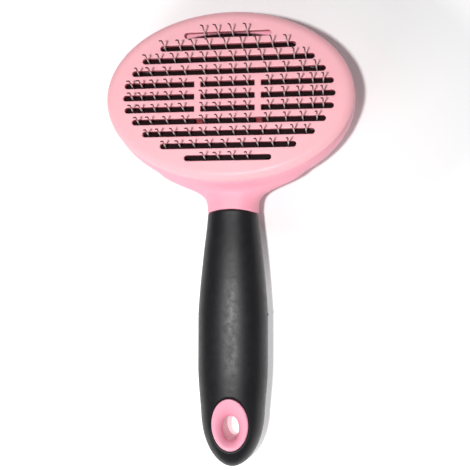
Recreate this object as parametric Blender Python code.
"""Self-cleaning slicker brush for pets.

Frame: origin in the middle of the flat back of the push button, +Z along the
pins (away from the table the brush lies on), +Y from the handle to the head,
X across the head.  Sizes are millimetres, meshes are metres.  All pieces share
the common origin.
"""

import bpy
import bmesh
import math
from mathutils import Vector

MM = 0.001
HEAD_SEGMENTS = 56           # round the oval head
SIDES = (-1, 1)
CUT_OVER = 1.0               # how far most cutters reach past the faces they open

# ---------------------------------------------------------------- push button
BUTTON_HALF_X, BUTTON_HALF_Y = 19.0, 13.5
BUTTON_FLOOR_Z = 2.2
# closed outline, up the outside and down the inside: (z, half size in X, half size in Y)
BUTTON_PROFILE = [
    (0.0, 16.4, 10.9), (0.5, 17.8, 12.3), (1.8, 18.7, 13.2),
    (3.6, BUTTON_HALF_X, BUTTON_HALF_Y), (11.8, BUTTON_HALF_X, BUTTON_HALF_Y),
    (11.8, 21.6, 16.1), (12.9, 21.6, 16.1), (12.9, 17.0, 11.5), (BUTTON_FLOOR_Z, 16.2, 10.7),
]
BUTTON_ROOT_Z = 1.2          # bosses and pegs start inside the floor
BOSS_R, BOSS_TOP_Z, BOSS_BORE_R = 2.7, 12.8, 1.0
BOSS_SINK_R, BOSS_SINK_Z = 1.95, 4.0
PEG_R, BUTTON_PEG_H = 1.9, 3.0

# ----------------------------------------------------------------- body shell
# outside of the head: (z, half size in X, half size in Y)
BOWL_OUTSIDE = [
    (9.5, 25.5, 18.3), (9.8, 36.8, 26.4), (10.6, 43.7, 31.4), (11.8, 48.6, 34.9),
    (13.2, 51.6, 37.1), (15.0, 53.4, 38.4), (17.5, 54.0, 38.8), (20.5, 54.0, 38.8),
    (24.0, 53.7, 38.3), (27.5, 52.7, 36.7),
]
# inside, same columns: a widening bowl, then a ledge that surrounds the pin plate
BOWL_INSIDE = [
    (11.5, 24.5, 18.0), (12.2, 31.5, 21.6), (14.0, 39.6, 25.6), (17.5, 46.4, 30.4),
    (21.2, 50.0, 33.2), (24.0, 50.6, 33.6), (24.4, 48.0, 29.1), (28.6, 48.0, 29.1),
]
BUTTON_GAP = 0.4             # round the button, in the opening in the back of the head
OPENING_Z0, OPENING_Z1 = 8.0, 12.4
POST_X, POST_Y, POST_R = 36.0, 13.2, 3.0
POST_Z0, POST_Z1 = 13.6, 23.45
PILOT_R, PILOT_Z0, PILOT_OVER = 1.1, 14.9, 0.4

# neck: (y, half width, z low, z of the widest line, z high, exponent of the underside)
NECK = [
    (-20.0, 28.0, 13.2, 19.0, 21.4, 1.3), (-27.0, 31.6, 12.0, 18.6, 22.0, 1.4),
    (-32.6, 30.6, 10.2, 18.0, 22.2, 1.6), (-35.8, 25.2, 8.9, 17.4, 22.2, 1.75),
    (-38.4, 18.9, 7.5, 16.4, 22.1, 2.0), (-40.4, 14.4, 6.1, 15.0, 22.0, 2.25),
    (-42.7, 12.1, 4.7, 13.6, 22.0, 2.4), (-45.2, 11.4, 3.6, 12.9, 22.0, 2.5),
    (-48.4, 11.1, 3.0, 12.5, 22.0, 2.6),
]
NECK_TOP_POWER = 2.6
HANDLE_Z = 12.5              # height of the handle axis
# tang inside the grip: (y, half width, half thickness)
TANG = [(-44.0, 6.6, 5.0), (-60.0, 7.2, 5.6), (-118.0, 8.0, 6.0), (-124.0, 6.4, 5.0)]
TANG_POWER = 4.0
TANG_GAP = 0.2

# ------------------------------------------------- grip and hang hole insert
# (y, half width, half thickness)
GRIP = [
    (-48.6, 11.1, 9.5), (-54.8, 11.6, 10.0), (-60.2, 12.3, 10.5), (-65.5, 12.95, 11.0),
    (-70.9, 13.5, 11.4), (-76.3, 14.05, 11.8), (-81.6, 14.6, 12.1), (-87.0, 14.95, 12.3),
    (-92.3, 15.4, 12.5), (-105.0, 15.4, 12.5), (-119.0, 15.4, 12.5), (-127.2, 14.8, 12.3),
    (-132.5, 14.3, 12.1), (-137.9, 13.85, 11.9), (-143.2, 13.15, 11.5), (-148.6, 11.9, 10.8),
    (-151.3, 10.95, 10.2), (-154.0, 9.25, 9.2), (-156.6, 6.8, 7.4), (-158.4, 4.0, 5.0),
    (-159.6, 1.3, 1.8),
]
GRIP_POWER = 2.35
BORE_START_Y = -46.0
INSERT_Y, INSERT_HALF_X, INSERT_HALF_Y = -140.4, 8.0, 11.35
INSERT_GAP = 0.2
INSERT_CUT_Z0, INSERT_CUT_Z1 = -2.0, 27.0
HANG_HALF_X, HANG_HALF_Y, HANG_SHIFT_Y = 3.5, 5.3, -2.0
HANG_HALF_DEPTH = 6.6

# ------------------------------------------------------- face (stripper) plate
# from the middle of the underside out and up: (z, half size in X, half size in Y)
FACE_PROFILE = [
    (28.8, 50.4, 33.4), (27.8, 50.6, 33.6), (27.8, 53.2, 36.2), (28.3, 53.5, 36.5),
    (29.5, 53.0, 36.0), (30.6, 52.0, 35.0), (31.15, 50.9, 33.9), (31.3, 49.8, 32.8),
]
ROW_PITCH, MIDDLE_ROW = 5.28, 5
SLOT_W, SLOT_Z0, SLOT_Z1 = 2.45, 28.3, 32.5
# half length of each slot, from the +Y end
SLOT_HALF = [18.7, 29.2, 37.0, 41.6, 44.9, 45.6, 44.9, 41.6, 37.0, 29.2, 18.7]
BRIDGED_ROWS = (4, 5, 6)     # slots interrupted by a bridge over each leg
BRIDGE_W = 2.7
LEG_X, LEG_T = 13.0, 2.5
LEG_TOP_Z, LEG_SHOULDER_Z, LEG_END_Z = 29.6, 21.0, 12.95
LEG_Y0, LEG_Y1 = -11.2, 8.5  # wide part, just under the plate
LEG_TAPER = 2.5              # height over which it narrows to the foot
LEG_FOOT = 4.2               # half width of the lower part
# leg outline: (y, z); its -Y end slopes away below the next slot
LEG_OUTLINE = [
    (-9.0, LEG_TOP_Z), (-9.0, 28.4), (LEG_Y0, 24.4), (LEG_Y0, LEG_SHOULDER_Z),
    (-LEG_FOOT, LEG_SHOULDER_Z - LEG_TAPER), (-LEG_FOOT, LEG_END_Z),
    (LEG_FOOT, LEG_END_Z), (LEG_FOOT, LEG_SHOULDER_Z - LEG_TAPER),
    (LEG_Y1, LEG_SHOULDER_Z), (LEG_Y1, LEG_TOP_Z),
]
LEG_BORE_R, LEG_BORE_OVER, LEG_BORE_TOP_Z = 0.9, 0.5, 19.6

# ------------------------------------- pins and the two plates that hold them
# distances of the pins from the middle of their row, one list per kind of row
PIN_X = [
    [3.0, 9.3],
    [0.0, 7.0, 13.7, 20.1, 26.6],
    [3.3, 9.3, 15.8, 22.5, 29.1, 34.1],
    [3.1, 9.4, 17.8, 25.6, 32.8, 38.6],
    [3.1, 9.4, 18.6, 24.9, 31.3, 37.0, 41.3],
]
PIN_ROW_KIND = [0, 1, 2, 3, 4, 4, 4, 3, 2, 1, 0]
SPLIT_PIN_ROWS = (4, 5, 6, 7)        # rows the wide part of the legs passes through
WIRE_HALF = 0.225                    # half thickness of the wire
WIRE_TIP_TAPER = 0.8
RAIL_Z0, RAIL_Z1 = 24.75, 25.25
PIN_ROOT_Z, PIN_KNEE_Z, PIN_TIP_Z = 28.0, 42.0, 43.6
PIN_HOOK_X, PIN_HOOK_Y = -0.5, -0.3
PIN_SHIFT_X = -0.8                   # the whole pattern sits a little towards -X

PLATE_HALF_X, PLATE_HALF_Y = 47.5, 28.6
PLATE_RIM_Z, PLATE_Z0, PLATE_Z1 = 24.7, 25.4, 27.8
PLATE_RIM_X, PLATE_RIM_Y = 1.3, 0.9  # width of the rim under the plate
PLATE_CHAMFER = 0.4
# countersunk hole in the pin plate: (z, radius)
SCREW_CLEAR_R, PLATE_SINK_R = 1.15, 1.95
PLATE_SINK = [(PLATE_RIM_Z - CUT_OVER, SCREW_CLEAR_R), (26.7, SCREW_CLEAR_R),
              (27.5, PLATE_SINK_R), (28.2, PLATE_SINK_R)]
PIN_HOLE_HALF = 0.40
PIN_HOLE_Z0, PIN_HOLE_Z1 = PLATE_Z0 - 0.3, PLATE_Z1 + 0.5
LEG_OPEN_GAP_X, LEG_OPEN_GAP_Y = 0.5, 0.35

BACK_Z0, BACK_Z1 = 23.6, 24.6
BACK_INSET = 0.2                     # smaller than the pin plate all round
# spring peg under the backing plate: (z, radius)
BACK_PEG = [(BACK_Z0 - 2.0, PEG_R - 0.25), (BACK_Z0 - 1.6, PEG_R), (BACK_Z0 + 0.5, PEG_R)]

# --------------------------------------------------------- screws and springs
# (z, radius)
PLATE_SCREW = [(15.2, 0.45), (15.9, 0.9), (26.75, 0.9), (27.45, 1.7), (27.65, 1.7)]
BUTTON_SCREW = [(2.5, 1.45), (2.8, 1.7), (3.9, 1.7), (3.9, 0.78), (18.4, 0.78), (19.1, 0.4)]
CROSS_HALF_W, CROSS_HALF_L = 0.24, 0.95
CROSS_DEPTH, CROSS_OVER = 0.6, 0.5

SPRING_X, SPRING_R, SPRING_WIRE_R, SPRING_TURNS = 5.6, 2.9, 0.38, 6.5
SPRING_END_GAP = 0.1
SPRING_Z0, SPRING_Z1 = BUTTON_FLOOR_Z + SPRING_END_GAP, BACK_Z0 - SPRING_END_GAP
SPRING_SIDES, SPRING_STEPS = 5, 11   # segments round the wire, steps per turn
SPRING_DEAD_TURNS = 0.9              # closed coil at each end
SPRING_DEAD_PITCH = 2 * SPRING_WIRE_R + 0.06

PINK = (0.93, 0.46, 0.55)
PINK_NECK = (0.92, 0.42, 0.55)


# ------------------------------------------------------------ scene, material
def clear_scene():
    for blocks in (bpy.data.objects, bpy.data.meshes, bpy.data.materials):
        for old in list(blocks):
            if blocks == bpy.data.objects:
                bpy.data.objects.remove(old, do_unlink=True)
            else:
                blocks.remove(old)


def material(name, color, roughness, metallic=0.0, coat=0.0):
    mat = bpy.data.materials.new(name)
    mat.use_nodes = True
    inputs = mat.node_tree.nodes["Principled BSDF"].inputs
    inputs["Base Color"].default_value = (*color, 1.0)
    inputs["Roughness"].default_value = roughness
    inputs["Metallic"].default_value = metallic
    inputs["Coat Weight"].default_value = coat
    return mat


# ------------------------------------------------------------- shape helpers
def point(x, y, z):
    return Vector((x * MM, y * MM, z * MM))


def oval(half_x, half_y, segments, x=0.0, y=0.0):
    angles = [2 * math.pi * i / segments for i in range(segments)]
    return [(x + half_x * math.cos(a), y + half_y * math.sin(a)) for a in angles]


def oval_ring(half_x, half_y, z, segments=HEAD_SEGMENTS, x=0.0, y=0.0):
    return [point(px, py, z) for px, py in oval(half_x, half_y, segments, x, y)]


def signed_power(value, power):
    return math.copysign(abs(value) ** (2 / power), value)


def section_ring(y, half_w, z_low, z_wide, z_high, low_power, high_power, segments):
    """Superellipse section across the handle, with its own exponent below the widest line."""
    ring = []
    for i in range(segments):
        angle = 2 * math.pi * (i + 0.5) / segments
        across, up = math.cos(angle), math.sin(angle)
        power = high_power if up > 0 else low_power
        half_h = z_high - z_wide if up > 0 else z_wide - z_low
        ring.append(point(half_w * signed_power(across, power), y,
                          z_wide + half_h * signed_power(up, power)))
    return ring


def handle_rings(stations, power, segments):
    """Sections about the handle axis from (y, half width, half thickness)."""
    return [section_ring(y, half_w, HANDLE_Z - half_t, HANDLE_Z, HANDLE_Z + half_t,
                         power, power, segments) for y, half_w, half_t in stations]


def loft(bm, rings, closed=False):
    """Skin over the rings, capped at both ends, or joined end to end if closed."""
    loops = [[bm.verts.new(p) for p in ring] for ring in rings]
    count, size = len(loops), len(loops[0])
    for i in range(count if closed else count - 1):
        a, b = loops[i], loops[(i + 1) % count]
        for j in range(size):
            k = (j + 1) % size
            bm.faces.new((a[j], a[k], b[k], b[j]))
    if not closed:
        bm.faces.new(list(reversed(loops[0])))
        bm.faces.new(loops[-1])


def loft_ovals(bm, profile, segments=HEAD_SEGMENTS):
    loft(bm, [oval_ring(half_x, half_y, z, segments) for z, half_x, half_y in profile])


def prism(bm, outline, z0, z1):
    loft(bm, [[point(x, y, z) for x, y in outline] for z in (z0, z1)])


def block(bm, x0, x1, y0, y1, z0, z1):
    prism(bm, [(x0, y0), (x1, y0), (x1, y1), (x0, y1)], z0, z1)


def rod(bm, x, y, profile, segments):
    loft(bm, [oval_ring(r, r, z, segments, x, y) for z, r in profile])


def rod_pair(bm, x, profile, segments):
    for side in SIDES:
        rod(bm, side * x, 0.0, profile, segments)


def post_rods(bm, profile, segments):
    """A rod on the axis of each of the four posts."""
    for side_x in SIDES:
        for side_y in SIDES:
            rod(bm, side_x * POST_X, side_y * POST_Y, profile, segments)


def leg_openings(bm, z0, z1):
    half = LEG_T / 2 + LEG_OPEN_GAP_X
    for side in SIDES:
        block(bm, side * LEG_X - half, side * LEG_X + half,
              LEG_Y0 - LEG_OPEN_GAP_Y, LEG_Y1 + LEG_OPEN_GAP_Y, z0 - CUT_OVER, z1 + CUT_OVER)


# ------------------------------------------------------------ object helpers
def new_object(name, bm):
    bmesh.ops.recalc_face_normals(bm, faces=bm.faces[:])
    mesh = bpy.data.meshes.new(name)
    bm.to_mesh(mesh)
    bm.free()
    obj = bpy.data.objects.new(name, mesh)
    bpy.context.scene.collection.objects.link(obj)
    return obj


def piece(name, bm, mat, sharp_angle=34.0):
    obj = new_object(name, bm)
    obj.data.materials.append(mat)
    obj.data.shade_smooth()
    obj.data.set_sharp_from_angle(angle=math.radians(sharp_angle))
    return obj


def combine(target, name, bm, operation):
    """Make a hidden helper from bm and apply it to target with a boolean modifier."""
    tool = new_object("helper_" + name, bm)
    tool.hide_render = True
    tool.display_type = "WIRE"
    mod = target.modifiers.new(operation.lower() + "_" + tool.name, "BOOLEAN")
    mod.operation = operation
    mod.solver = "EXACT"
    mod.object = tool


def add(target, name, bm):
    combine(target, name, bm, "UNION")


def cut(target, name, bm):
    combine(target, name, bm, "DIFFERENCE")


# ---------------------------------------------------------------- body shell
def build_body_shell():
    bm = bmesh.new()
    loft_ovals(bm, BOWL_OUTSIDE)
    shell = piece("body_shell", bm, material("pink_body", PINK_NECK, roughness=0.28, coat=0.3))

    bm = bmesh.new()
    loft(bm, [section_ring(*station, NECK_TOP_POWER, 36) for station in NECK])
    add(shell, "neck", bm)

    bm = bmesh.new()
    loft(bm, handle_rings(TANG, TANG_POWER, 16))
    add(shell, "tang", bm)

    bm = bmesh.new()
    loft_ovals(bm, BOWL_INSIDE)
    cut(shell, "cavity", bm)

    bm = bmesh.new()
    half_x, half_y = BUTTON_HALF_X + BUTTON_GAP, BUTTON_HALF_Y + BUTTON_GAP
    loft_ovals(bm, [(z, half_x, half_y) for z in (OPENING_Z0, OPENING_Z1)], 48)
    cut(shell, "button_opening", bm)

    bm = bmesh.new()
    post_rods(bm, [(POST_Z0, POST_R), (POST_Z1, POST_R)], 12)
    add(shell, "posts", bm)

    bm = bmesh.new()
    post_rods(bm, [(PILOT_Z0, PILOT_R), (POST_Z1 + PILOT_OVER, PILOT_R)], 10)
    cut(shell, "pilot_holes", bm)


# ---------------------------------------------------------------------- grip
def interpolate(table, y, column):
    """Value of a column at y, in a table whose first column falls."""
    if y >= table[0][0]:
        return table[0][column]
    for above, below in zip(table, table[1:]):
        if y >= below[0]:
            t = (above[0] - y) / (above[0] - below[0])
            return above[column] + (below[column] - above[column]) * t
    return table[-1][column]


def grip_half_height(x, y):
    """Half thickness of the grip at x across it, y along it."""
    half_w, half_t = interpolate(GRIP, y, 1), interpolate(GRIP, y, 2)
    rest = max(0.0, 1 - (abs(x) / half_w) ** GRIP_POWER)
    return half_t * rest ** (1 / GRIP_POWER)


def build_grip():
    bm = bmesh.new()
    loft(bm, handle_rings(GRIP, GRIP_POWER, 28))
    grip = piece("grip_sleeve", bm,
                 material("black_soft_grip", (0.028, 0.028, 0.031), roughness=0.62))

    grip_start_y, tang_end_y = GRIP[0][0], TANG[-1][0]
    bore = [
        (BORE_START_Y, interpolate(TANG, grip_start_y, 1), interpolate(TANG, grip_start_y, 2)),
        *TANG[1:-1],
        (tang_end_y - TANG_GAP, TANG[-1][1], TANG[-1][2]),
    ]
    bore = [(y, half_w + TANG_GAP, half_t + TANG_GAP) for y, half_w, half_t in bore]
    bm = bmesh.new()
    loft(bm, handle_rings(bore, TANG_POWER, 16))
    cut(grip, "tang_bore", bm)

    bm = bmesh.new()
    loft(bm, [oval_ring(INSERT_HALF_X + INSERT_GAP, INSERT_HALF_Y + INSERT_GAP, z, 32,
                        y=INSERT_Y) for z in (INSERT_CUT_Z0, INSERT_CUT_Z1)])
    cut(grip, "insert_opening", bm)


# ---------------------------------------------------------- hang hole insert
def insert_ring(half_x, half_y, shift_y, side, offset=None, height=None):
    """Oval that follows the grip surface at an offset, or lies flat at a height.

    side is 1 above the handle axis and -1 below it.
    """
    ring = []
    for x, y in oval(half_x, half_y, 32, y=INSERT_Y + shift_y):
        rise = height if height is not None else grip_half_height(x, y) + offset
        ring.append(point(x, y, HANDLE_Z + side * rise))
    return ring


def build_hang_hole_insert():
    half_x, half_y = INSERT_HALF_X, INSERT_HALF_Y
    bm = bmesh.new()
    loft(bm, [
        insert_ring(half_x, half_y, 0.0, -1, offset=-0.45),
        insert_ring(half_x, half_y, 0.0, 1, offset=-0.45),
        insert_ring(half_x - 0.5, half_y - 0.5, 0.0, 1, offset=0.1),
        insert_ring(half_x - 1.4, half_y - 1.5, -0.1, 1, offset=-0.1),
        insert_ring(5.1, 7.6, -1.0, 1, offset=-1.9),
        insert_ring(HANG_HALF_X + 0.3, HANG_HALF_Y + 0.4, HANG_SHIFT_Y, 1,
                    height=HANG_HALF_DEPTH + 1.0),
        insert_ring(HANG_HALF_X, HANG_HALF_Y, HANG_SHIFT_Y, 1, height=HANG_HALF_DEPTH),
        insert_ring(HANG_HALF_X, HANG_HALF_Y, HANG_SHIFT_Y, -1, height=HANG_HALF_DEPTH),
        insert_ring(5.1, 7.6, -1.0, -1, offset=-1.9),
        insert_ring(half_x - 1.0, half_y - 1.0, 0.0, -1, offset=0.0),
    ], closed=True)
    piece("hang_hole_insert", bm, material("pink_insert", PINK_NECK, roughness=0.3, coat=0.3))


# ---------------------------------------------------------------- face plate
def row_y(row):
    return ROW_PITCH * (MIDDLE_ROW - row)


def slot(bm, x0, x1, y, round_x0, round_x1):
    """Slot cutter from x0 to x1, each end round or square."""
    radius = SLOT_W / 2
    angles = [math.radians(-90 + 36 * k) for k in range(6)]
    arc = [(radius * math.cos(a), radius * math.sin(a)) for a in angles]
    if round_x1:
        outline = [(x1 - radius + dx, y + dy) for dx, dy in arc]
    else:
        outline = [(x1, y - radius), (x1, y + radius)]
    if round_x0:
        outline += [(x0 + radius - dx, y - dy) for dx, dy in arc]
    else:
        outline += [(x0, y + radius), (x0, y - radius)]
    prism(bm, outline, SLOT_Z0, SLOT_Z1)


def build_face_plate():
    bm = bmesh.new()
    loft_ovals(bm, FACE_PROFILE)
    face = piece("face_plate", bm, material("pink_face", PINK, roughness=0.25, coat=0.35))

    bm = bmesh.new()
    for side in SIDES:
        loft(bm, [[point(side * LEG_X + dx, y, z) for y, z in LEG_OUTLINE]
                  for dx in (-LEG_T / 2, LEG_T / 2)])
    add(face, "legs", bm)

    bm = bmesh.new()
    bridge_inner, bridge_outer = LEG_X - BRIDGE_W / 2, LEG_X + BRIDGE_W / 2
    for row, half in enumerate(SLOT_HALF):
        y = row_y(row)
        if row in BRIDGED_ROWS:
            slot(bm, -half, -bridge_outer, y, True, False)
            slot(bm, -bridge_inner, bridge_inner, y, False, False)
            slot(bm, bridge_outer, half, y, False, True)
        else:
            slot(bm, -half, half, y, True, True)
    cut(face, "slots", bm)

    bm = bmesh.new()
    rod_pair(bm, LEG_X, [(LEG_END_Z - LEG_BORE_OVER, LEG_BORE_R),
                         (LEG_BORE_TOP_Z, LEG_BORE_R)], 10)
    cut(face, "leg_bores", bm)


# --------------------------------------------------- pin plate, backing plate
def row_pins(row):
    """X of every pin in a row, rising; a pin at 0 counts once."""
    distances = PIN_X[PIN_ROW_KIND[row]]
    return sorted({round(side * x + PIN_SHIFT_X, 3) for x in distances for side in SIDES})


def build_pin_plate():
    rim_half_x, rim_half_y = PLATE_HALF_X - PLATE_RIM_X, PLATE_HALF_Y - PLATE_RIM_Y
    bm = bmesh.new()
    loft_ovals(bm, [
        (PLATE_Z0, rim_half_x, rim_half_y),
        (PLATE_RIM_Z, rim_half_x, rim_half_y),
        (PLATE_RIM_Z, PLATE_HALF_X, PLATE_HALF_Y),
        (PLATE_Z1 - PLATE_CHAMFER, PLATE_HALF_X, PLATE_HALF_Y),
        (PLATE_Z1, PLATE_HALF_X - PLATE_CHAMFER, PLATE_HALF_Y - PLATE_CHAMFER),
    ])
    plate = piece("pin_plate", bm,
                  material("black_pin_plate", (0.012, 0.011, 0.012), roughness=0.42))

    bm = bmesh.new()
    leg_openings(bm, PLATE_RIM_Z, PLATE_Z1)
    cut(plate, "leg_openings", bm)

    bm = bmesh.new()
    post_rods(bm, PLATE_SINK, 12)
    cut(plate, "screw_sinks", bm)

    bm = bmesh.new()
    half = PIN_HOLE_HALF
    for row in range(len(PIN_ROW_KIND)):
        y = row_y(row)
        for x in row_pins(row):
            block(bm, x - half, x + half, y - half, y + half, PIN_HOLE_Z0, PIN_HOLE_Z1)
    cut(plate, "pin_holes", bm)


def build_backing_plate():
    half_x, half_y = PLATE_HALF_X - BACK_INSET, PLATE_HALF_Y - BACK_INSET
    bm = bmesh.new()
    loft_ovals(bm, [(z, half_x, half_y) for z in (BACK_Z0, BACK_Z1)], 48)
    backing = piece("pin_backing_plate", bm,
                    material("grey_backing", (0.16, 0.15, 0.16), roughness=0.5))

    bm = bmesh.new()
    leg_openings(bm, BACK_Z0, BACK_Z1)
    post_rods(bm, [(BACK_Z0 - CUT_OVER, SCREW_CLEAR_R), (BACK_Z1 + CUT_OVER, SCREW_CLEAR_R)], 12)
    cut(backing, "backing_holes", bm)

    bm = bmesh.new()
    rod_pair(bm, SPRING_X, BACK_PEG, 12)
    add(backing, "backing_pegs", bm)


# ---------------------------------------------------------------------- pins
def pin_lean(x, y):
    """How far a pin's knee stands from above its root, across the head and along it."""
    # across: 0.6 mm in the middle, changing faster with x on the -X side
    across = 0.6 - (0.04 if x < 0 else 0.0125) * x
    # along: grows either way from between rows 3 and 4, and slightly with x; then limited
    rows_off = MIDDLE_ROW - y / ROW_PITCH - 3.5
    growth = 0.075 * rows_off ** 2 if rows_off < 0 else -0.11 * -rows_off
    if rows_off >= 0:
        growth = 0.11 * rows_off
    along = 0.1 + growth + 0.011 * x
    return across, max(-0.9, min(0.82, along))


def pin_comb(name, pins, y, mat):
    """Bent wire pins standing on one strip of the same wire."""
    half = WIRE_HALF
    cuts = [x + side * half for x in pins for side in SIDES]
    bm = bmesh.new()

    def rail_pairs(z):
        return [[bm.verts.new(point(x, y + side * half, z)) for side in SIDES] for x in cuts]

    low, high = rail_pairs(RAIL_Z0), rail_pairs(RAIL_Z1)
    for k in range(len(cuts) - 1):
        a, b, c, d = low[k], low[k + 1], high[k + 1], high[k]
        bm.faces.new((a[0], a[1], b[1], b[0]))
        bm.faces.new((a[0], b[0], c[0], d[0]))
        bm.faces.new((b[1], a[1], d[1], c[1]))
        if k % 2 == 1:                 # bare rail between two pins
            bm.faces.new((d[0], c[0], c[1], d[1]))
            continue
        x = (cuts[k] + cuts[k + 1]) / 2
        lean_x, lean_y = pin_lean(x, y)
        knee_x, knee_y = x + lean_x, y + lean_y
        stations = (
            (x, y, PIN_ROOT_Z, half),
            (knee_x, knee_y, PIN_KNEE_Z, half),
            (knee_x + PIN_HOOK_X, knee_y + PIN_HOOK_Y, PIN_TIP_Z, half * WIRE_TIP_TAPER),
        )
        below = [d[0], c[0], c[1], d[1]]
        for px, py, pz, reach in stations:
            above = [bm.verts.new(point(px + side_x * reach, py + side_y * reach, pz))
                     for side_x, side_y in ((-1, -1), (1, -1), (1, 1), (-1, 1))]
            for i in range(4):
                j = (i + 1) % 4
                bm.faces.new((below[i], below[j], above[j], above[i]))
            below = above
        bm.faces.new(below)
    for end in (0, -1):
        bm.faces.new((low[end][0], low[end][1], high[end][1], high[end][0]))
    piece(name, bm, mat, sharp_angle=50.0)


def build_pins():
    steel = material("steel_pins", (0.62, 0.62, 0.64), roughness=0.22, metallic=1.0)
    for row in range(len(PIN_ROW_KIND)):
        pins, y = row_pins(row), row_y(row)
        name = "pin_row_%02d" % (row + 1)
        if row in SPLIT_PIN_ROWS:
            pin_comb(name + "_left", [x for x in pins if x < -LEG_X], y, steel)
            pin_comb(name + "_centre", [x for x in pins if abs(x) < LEG_X], y, steel)
            pin_comb(name + "_right", [x for x in pins if x > LEG_X], y, steel)
        else:
            pin_comb(name, pins, y, steel)


# -------------------------------------------------------------------- button
def build_button():
    bm = bmesh.new()
    loft_ovals(bm, BUTTON_PROFILE, 48)
    button = piece("push_button", bm, material("pink_button", PINK, roughness=0.27, coat=0.3))

    peg_top_z = BUTTON_FLOOR_Z + BUTTON_PEG_H
    bm = bmesh.new()
    for side in SIDES:
        rod(bm, side * LEG_X, 0.0, [(BUTTON_ROOT_Z, BOSS_R), (BOSS_TOP_Z, BOSS_R)], 16)
        rod(bm, side * SPRING_X, 0.0, [(BUTTON_ROOT_Z, PEG_R), (peg_top_z - 0.4, PEG_R),
                                       (peg_top_z, PEG_R - 0.3)], 12)
    add(button, "bosses", bm)

    bm = bmesh.new()
    rod_pair(bm, LEG_X, [(-CUT_OVER, BOSS_SINK_R), (BOSS_SINK_Z, BOSS_SINK_R),
                         (BOSS_SINK_Z, BOSS_BORE_R), (BOSS_TOP_Z + CUT_OVER, BOSS_BORE_R)], 16)
    cut(button, "boss_bores", bm)


# -------------------------------------------------------------------- screws
def screw(name, x, y, profile, faces_up, mat):
    """Cross-recess screw: body of revolution with a driver cross cut in its head."""
    bm = bmesh.new()
    rod(bm, x, y, profile, 14)
    body = piece(name, bm, mat, sharp_angle=40.0)

    w, l = CROSS_HALF_W, CROSS_HALF_L
    cross = [(-w, -l), (w, -l), (w, -w), (l, -w), (l, w), (w, w),
             (w, l), (-w, l), (-w, w), (-l, w), (-l, -w), (-w, -w)]
    if faces_up:
        head_z = profile[-1][0]
        z0, z1 = head_z - CROSS_DEPTH, head_z + CROSS_OVER
    else:
        head_z = profile[0][0]
        z0, z1 = head_z - CROSS_OVER, head_z + CROSS_DEPTH
    bm = bmesh.new()
    prism(bm, [(x + dx, y + dy) for dx, dy in cross], z0, z1)
    cut(body, "cross_" + name, bm)


def build_screws():
    steel = material("steel_screws", (0.5, 0.5, 0.52), roughness=0.3, metallic=1.0)
    corners = ((-1, 1), (1, 1), (-1, -1), (1, -1))
    for number, (side_x, side_y) in enumerate(corners, start=1):
        screw("pin_plate_screw_%d" % number, side_x * POST_X, side_y * POST_Y,
              PLATE_SCREW, True, steel)
    for side, label in ((-1, "left"), (1, "right")):
        screw("button_screw_" + label, side * LEG_X, 0.0, BUTTON_SCREW, False, steel)


# ------------------------------------------------------------------- springs
def build_spring(name, centre_x):
    total = int(SPRING_TURNS * SPRING_STEPS)
    dead = SPRING_DEAD_TURNS * SPRING_STEPS
    z0, z1 = SPRING_Z0 + SPRING_WIRE_R, SPRING_Z1 - SPRING_WIRE_R
    dead_step = SPRING_DEAD_PITCH / SPRING_STEPS
    open_z0, open_z1 = z0 + dead_step * dead, z1 - dead_step * dead
    up = Vector((0.0, 0.0, 1.0))
    wire_angles = [2 * math.pi * i / SPRING_SIDES for i in range(SPRING_SIDES)]
    rings = []
    for k in range(total + 1):
        turn = 2 * math.pi * k / SPRING_STEPS
        if k < dead:
            z = z0 + dead_step * k
        elif k > total - dead:
            z = z1 - dead_step * (total - k)
        else:
            z = open_z0 + (open_z1 - open_z0) * (k - dead) / (total - 2 * dead)
        out = Vector((math.cos(turn), math.sin(turn), 0.0))
        centre = Vector((centre_x, 0.0, z)) + out * SPRING_R
        rings.append([(centre + out * SPRING_WIRE_R * math.cos(a)
                       + up * SPRING_WIRE_R * math.sin(a)) * MM for a in wire_angles])
    bm = bmesh.new()
    loft(bm, rings)
    steel = material("steel_" + name, (0.7, 0.7, 0.72), roughness=0.25, metallic=1.0)
    piece(name, bm, steel, sharp_angle=60.0)


clear_scene()
build_body_shell()
build_grip()
build_hang_hole_insert()
build_face_plate()
build_pin_plate()
build_backing_plate()
build_pins()
build_button()
build_screws()
build_spring("return_spring_left", -SPRING_X)
build_spring("return_spring_right", SPRING_X)
